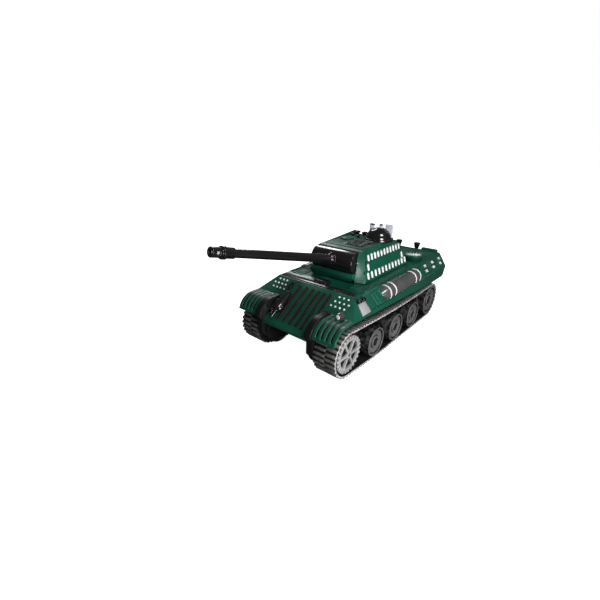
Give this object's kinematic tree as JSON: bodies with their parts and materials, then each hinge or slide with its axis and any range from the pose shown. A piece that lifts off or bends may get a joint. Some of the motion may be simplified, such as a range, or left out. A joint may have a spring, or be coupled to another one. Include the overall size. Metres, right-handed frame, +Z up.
{
  "type": "toy remote control tank",
  "caption": "Green toy remote control battle tank with rubber-look tracks, dished road wheels, traversing turret and long elevating gun.",
  "frame": {"origin": "on the ground under the middle of the whole tank, gun included", "axes": "+X forward, the way the gun points; +Y to the tank's left; +Z up"},
  "size_m": [0.3114, 0.1128, 0.124],
  "materials": {
    "hull_green": "dark green moulded plastic, semi-gloss",
    "hull_black": "black moulded plastic, satin",
    "bar_brown": "very dark brown plastic, satin",
    "stud_white": "white painted plastic",
    "lamp_chrome": "smoked plastic with a bright top",
    "gun_black": "polished black plastic",
    "trim_dark": "dark grey plastic",
    "tube_grey": "dark grey plastic with pale bands",
    "track_rubber": "black flexible plastic, worn grey at the pads",
    "wheel_grey": "mid grey moulded plastic",
    "sprocket_silver": "pale silver-grey plastic",
    "steel": "bright steel",
    "gear_nylon": "white nylon",
    "pinion_brass": "turned brass",
    "cell_jacket": "plain dark battery jacket",
    "board_green": "circuit board",
    "prism_clear": "clear plastic"
  },
  "bodies": {
    "hull": {"lower_hull": "hull_black", "upper_hull": "hull_green", "gear_housing_left": "hull_black", "gear_housing_right": "hull_black", "track_left": "track_rubber", "track_right": "track_rubber", "drive_motor_left": "steel", "drive_motor_right": "steel", "wheel_pins": "hull_black", "glacis_bars": "bar_brown", "glacis_studs": "stud_white", "headlight": "lamp_chrome", "bow_gun": "gun_black", "deck_strip": "trim_dark", "stowage_tubes": "tube_grey", "side_launchers": "tube_grey", "hull_side_studs": "stud_white", "fan_housings": "hull_green", "fan_grilles": "stud_white", "exhaust_stacks": "hull_black", "rear_bins": "hull_green", "battery_door": "hull_black", "battery_cells": "cell_jacket", "battery_contacts": "steel", "control_board": "board_green", "speaker": "hull_black", "hull_screws": "steel", "turret_motor": "steel"},
    "turret": {"turret_shell": "hull_green", "turret_base": "hull_black", "turret_side_studs": "stud_white", "trunnion_pin": "steel", "roof_grille": "trim_dark", "roof_fittings": "trim_dark", "cupola": "gun_black", "cupola_periscopes": "prism_clear"},
    "gun": {"mantlet": "gun_black", "gun_barrel": "gun_black", "muzzle_brake": "gun_black", "muzzle_lamp": "prism_clear"},
    "turret_pinion": {"turret_pinion": "gear_nylon"},
    "switch": {"power_switch": "hull_black"},
    "sprocket_left": {"sprocket_left": "sprocket_silver", "drive_axle_left": "steel", "final_gear_left": "gear_nylon"},
    "compound_gear_left": {"compound_gear_left": "gear_nylon"},
    "motor_pinion_left": {"motor_pinion_left": "pinion_brass"},
    "road_wheel_1_left": {"road_wheel_1_left": "wheel_grey"},
    "road_wheel_2_left": {"road_wheel_2_left": "wheel_grey"},
    "road_wheel_3_left": {"road_wheel_3_left": "wheel_grey"},
    "idler_left": {"idler_left": "wheel_grey"},
    "sprocket_right": {"sprocket_right": "sprocket_silver", "drive_axle_right": "steel", "final_gear_right": "gear_nylon"},
    "compound_gear_right": {"compound_gear_right": "gear_nylon"},
    "motor_pinion_right": {"motor_pinion_right": "pinion_brass"},
    "road_wheel_1_right": {"road_wheel_1_right": "wheel_grey"},
    "road_wheel_2_right": {"road_wheel_2_right": "wheel_grey"},
    "road_wheel_3_right": {"road_wheel_3_right": "wheel_grey"},
    "idler_right": {"idler_right": "wheel_grey"}
  },
  "joints": [
    {"name": "turret_traverse", "type": "hinge", "parent": "hull", "child": "turret", "pos_m": [-0.03371, 0, 0.067], "axis": [0, 0, 1], "range_deg": [-160, 160]},
    {"name": "gun_elevation", "type": "hinge", "parent": "turret", "child": "gun", "pos_m": [0.01209, 0, 0.0848], "axis": [0, -1, 0], "range_deg": [-17, 6]},
    {"name": "turret_pinion_spin", "type": "hinge", "parent": "hull", "child": "turret_pinion", "pos_m": [-0.05971, 0, 0.0597], "axis": [0, 0, 1], "range_deg": [-1230, 1230]},
    {"name": "power_switch_slide", "type": "slide", "parent": "hull", "child": "switch", "axis": [1, 0, 0], "range_m": [0, 0.005]},
    {"name": "sprocket_spin_left", "type": "hinge", "parent": "hull", "child": "sprocket_left", "pos_m": [0.06629, 0.045, 0.0246], "axis": [0, 1, 0], "continuous": true},
    {"name": "compound_spin_left", "type": "hinge", "parent": "hull", "child": "compound_gear_left", "pos_m": [0.05496, 0.024, 0.0266], "axis": [0, 1, 0], "continuous": true},
    {"name": "motor_pinion_spin_left", "type": "hinge", "parent": "hull", "child": "motor_pinion_left", "pos_m": [0.04496, 0.024, 0.0266], "axis": [0, 1, 0], "continuous": true},
    {"name": "road_wheel_1_spin_left", "type": "hinge", "parent": "hull", "child": "road_wheel_1_left", "pos_m": [0.02009, 0.045, 0.0172], "axis": [0, 1, 0], "continuous": true},
    {"name": "road_wheel_2_spin_left", "type": "hinge", "parent": "hull", "child": "road_wheel_2_left", "pos_m": [-0.01991, 0.045, 0.0172], "axis": [0, 1, 0], "continuous": true},
    {"name": "road_wheel_3_spin_left", "type": "hinge", "parent": "hull", "child": "road_wheel_3_left", "pos_m": [-0.05991, 0.045, 0.0172], "axis": [0, 1, 0], "continuous": true},
    {"name": "idler_spin_left", "type": "hinge", "parent": "hull", "child": "idler_left", "pos_m": [-0.10511, 0.045, 0.0202], "axis": [0, 1, 0], "continuous": true},
    {"name": "sprocket_spin_right", "type": "hinge", "parent": "hull", "child": "sprocket_right", "pos_m": [0.06629, -0.045, 0.0246], "axis": [0, 1, 0], "continuous": true},
    {"name": "compound_spin_right", "type": "hinge", "parent": "hull", "child": "compound_gear_right", "pos_m": [0.05496, -0.024, 0.0266], "axis": [0, 1, 0], "continuous": true},
    {"name": "motor_pinion_spin_right", "type": "hinge", "parent": "hull", "child": "motor_pinion_right", "pos_m": [0.04496, -0.024, 0.0266], "axis": [0, 1, 0], "continuous": true},
    {"name": "road_wheel_1_spin_right", "type": "hinge", "parent": "hull", "child": "road_wheel_1_right", "pos_m": [0.02009, -0.045, 0.0172], "axis": [0, 1, 0], "continuous": true},
    {"name": "road_wheel_2_spin_right", "type": "hinge", "parent": "hull", "child": "road_wheel_2_right", "pos_m": [-0.01991, -0.045, 0.0172], "axis": [0, 1, 0], "continuous": true},
    {"name": "road_wheel_3_spin_right", "type": "hinge", "parent": "hull", "child": "road_wheel_3_right", "pos_m": [-0.05991, -0.045, 0.0172], "axis": [0, 1, 0], "continuous": true},
    {"name": "idler_spin_right", "type": "hinge", "parent": "hull", "child": "idler_right", "pos_m": [-0.10511, -0.045, 0.0202], "axis": [0, 1, 0], "continuous": true}
  ],
  "couplings": [
    {"joint": "turret_pinion_spin", "follows": "turret_traverse", "ratio": -7.6667},
    {"joint": "compound_spin_left", "follows": "sprocket_spin_left", "ratio": -3.6},
    {"joint": "motor_pinion_spin_left", "follows": "sprocket_spin_left", "ratio": 10.8},
    {"joint": "road_wheel_1_spin_left", "follows": "sprocket_spin_left", "ratio": 1.3125},
    {"joint": "road_wheel_2_spin_left", "follows": "sprocket_spin_left", "ratio": 1.3125},
    {"joint": "road_wheel_3_spin_left", "follows": "sprocket_spin_left", "ratio": 1.3125},
    {"joint": "idler_spin_left", "follows": "sprocket_spin_left", "ratio": 1.0862},
    {"joint": "compound_spin_right", "follows": "sprocket_spin_right", "ratio": -3.6},
    {"joint": "motor_pinion_spin_right", "follows": "sprocket_spin_right", "ratio": 10.8},
    {"joint": "road_wheel_1_spin_right", "follows": "sprocket_spin_right", "ratio": 1.3125},
    {"joint": "road_wheel_2_spin_right", "follows": "sprocket_spin_right", "ratio": 1.3125},
    {"joint": "road_wheel_3_spin_right", "follows": "sprocket_spin_right", "ratio": 1.3125},
    {"joint": "idler_spin_right", "follows": "sprocket_spin_right", "ratio": 1.0862}
  ]
}
